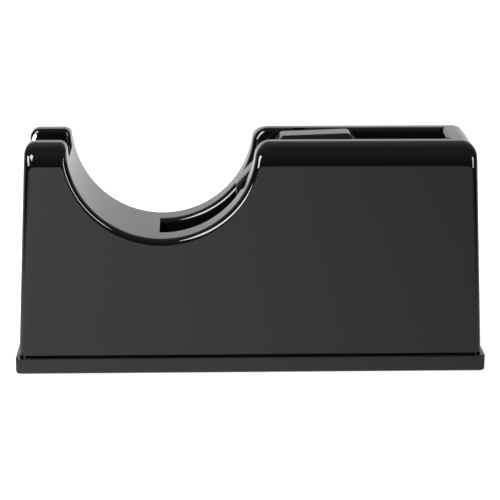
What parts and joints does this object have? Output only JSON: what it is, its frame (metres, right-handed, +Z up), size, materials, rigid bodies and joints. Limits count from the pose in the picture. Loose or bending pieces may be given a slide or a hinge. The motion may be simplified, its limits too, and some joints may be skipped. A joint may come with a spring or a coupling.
{
  "type": "tape dispenser",
  "caption": "Weighted desk tape dispenser with a half-round hollow, a deep roll well with a lift-out octagonal hub, and a toothed blade between two ears.",
  "frame": {"origin": "on the table under the middle of the base, at the underside of the feet", "axes": "+X along the body from the blade end to the roll end, +Y across it, +Z up"},
  "size_m": [0.2, 0.055, 0.0999],
  "materials": {
    "casing_plastic": "high-gloss moulded black",
    "base_plastic": "gloss moulded black",
    "hub_plastic": "gloss moulded black",
    "carrier_plastic": "satin moulded black",
    "blade_steel": "bright stamped steel",
    "screw_steel": "zinc-plated steel",
    "ballast_iron": "rough cast, sealed inside",
    "foot_rubber": "matt black rubber"
  },
  "bodies": {
    "casing": {"body_shell": "casing_plastic", "base_plate": "base_plastic", "blade_carrier": "carrier_plastic", "cutter_blade": "blade_steel", "blade_screw_1": "screw_steel", "blade_screw_2": "screw_steel", "carrier_screw_1": "screw_steel", "carrier_screw_2": "screw_steel", "ballast_front": "ballast_iron", "ballast_near": "ballast_iron", "ballast_far": "ballast_iron", "ballast_screw_1": "screw_steel", "ballast_screw_2": "screw_steel", "ballast_screw_3": "screw_steel", "ballast_screw_4": "screw_steel", "ballast_screw_5": "screw_steel", "ballast_screw_6": "screw_steel", "base_screw_1": "screw_steel", "base_screw_2": "screw_steel", "base_screw_3": "screw_steel", "base_screw_4": "screw_steel", "foot_1": "foot_rubber", "foot_2": "foot_rubber", "foot_3": "foot_rubber", "foot_4": "foot_rubber"},
    "axle": {"hub_axle": "screw_steel"},
    "hub": {"core_hub": "hub_plastic"}
  },
  "joints": [
    {"name": "hub_lift", "type": "slide", "parent": "casing", "child": "axle", "axis": [-0.2079, 0, 0.9781], "range_m": [0, 0.035]},
    {"name": "hub_spin", "type": "hinge", "parent": "axle", "child": "hub", "pos_m": [0.02885, 0, 0.06512], "axis": [0, 1, 0], "continuous": true}
  ]
}
